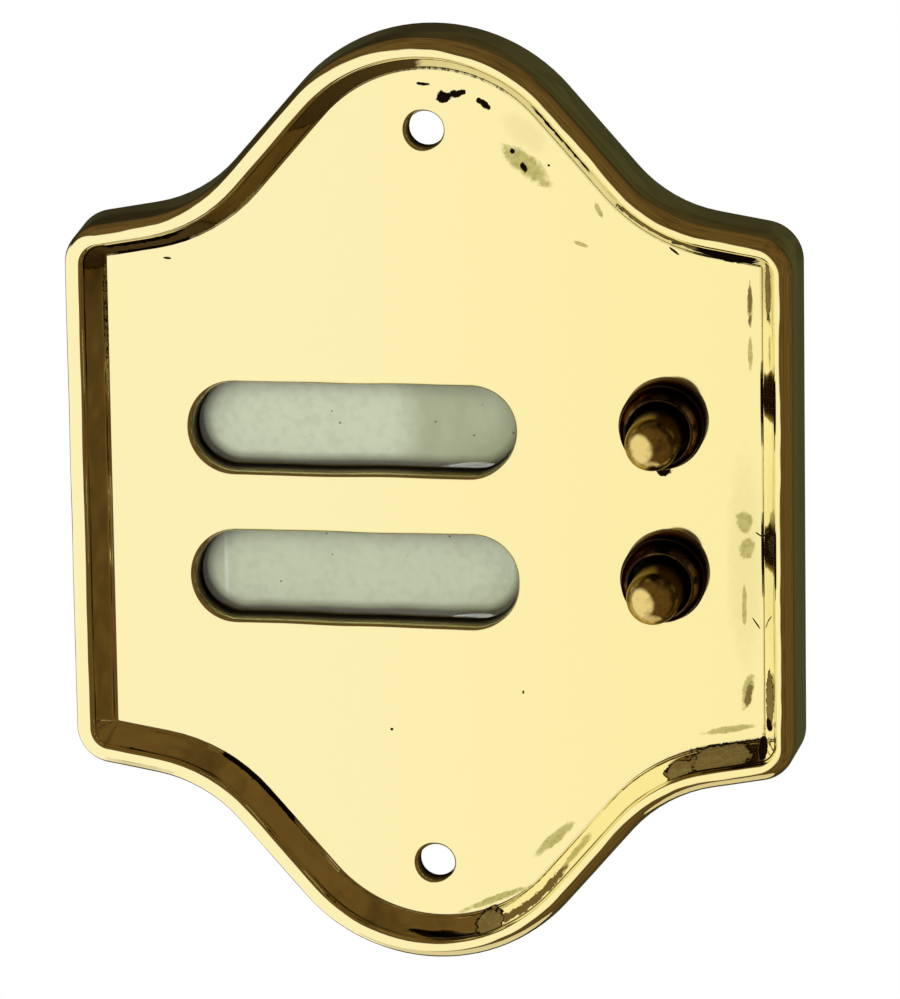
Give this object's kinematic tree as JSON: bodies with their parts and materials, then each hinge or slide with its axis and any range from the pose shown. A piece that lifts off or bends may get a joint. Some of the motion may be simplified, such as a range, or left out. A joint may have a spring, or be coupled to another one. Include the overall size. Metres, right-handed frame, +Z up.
{
  "type": "doorbell push plate",
  "caption": "Shield-shaped cast brass bell plate with a raised rim, name windows behind clear panes, and sprung dome-ended push buttons in turned collars.",
  "frame": {"origin": "middle of the plate, on the plane of the wall that its rim lies against", "axes": "+Z up the wall, +X to the right as seen from the front, -Y out of the wall towards the person ringing, +Y into the wall"},
  "size_m": [0.099, 0.041, 0.1274],
  "materials": {
    "cast_brass": "polished",
    "turned_brass": "polished",
    "sheet_brass": "dull",
    "contact_brass": "satin",
    "clear_glass": "clear",
    "blank_card": "matt",
    "steel_screws": "satin",
    "spring_steel": "satin",
    "fibre": "matt",
    "moulded_black": "moulded"
  },
  "bodies": {
    "plate": {"face_plate": "cast_brass", "upper_window_pane": "clear_glass", "upper_name_card": "blank_card", "upper_card_clip": "sheet_brass", "upper_clip_screws": "steel_screws", "upper_button_collar": "turned_brass", "upper_collar_washer": "turned_brass", "upper_collar_nut": "turned_brass", "upper_return_spring": "spring_steel", "upper_contact_base": "moulded_black", "upper_left_contact": "contact_brass", "upper_right_contact": "contact_brass", "upper_terminal_screws": "steel_screws", "lower_window_pane": "clear_glass", "lower_name_card": "blank_card", "lower_card_clip": "sheet_brass", "lower_clip_screws": "steel_screws", "lower_button_collar": "turned_brass", "lower_collar_washer": "turned_brass", "lower_collar_nut": "turned_brass", "lower_return_spring": "spring_steel", "lower_contact_base": "moulded_black", "lower_left_contact": "contact_brass", "lower_right_contact": "contact_brass", "lower_terminal_screws": "steel_screws"},
    "upper_button": {"upper_push_button": "turned_brass", "upper_insulating_washer": "fibre", "upper_contact_disc": "contact_brass"},
    "lower_button": {"lower_push_button": "turned_brass", "lower_insulating_washer": "fibre", "lower_contact_disc": "contact_brass"}
  },
  "joints": [
    {"name": "upper_button_press", "type": "slide", "parent": "plate", "child": "upper_button", "axis": [0, 1, 0], "range_m": [0, 0.002], "stiffness_N_per_m": 400, "springref_m": -0.0025, "deforming": ["upper_return_spring"]},
    {"name": "lower_button_press", "type": "slide", "parent": "plate", "child": "lower_button", "axis": [0, 1, 0], "range_m": [0, 0.002], "stiffness_N_per_m": 400, "springref_m": -0.0025, "deforming": ["lower_return_spring"]}
  ]
}
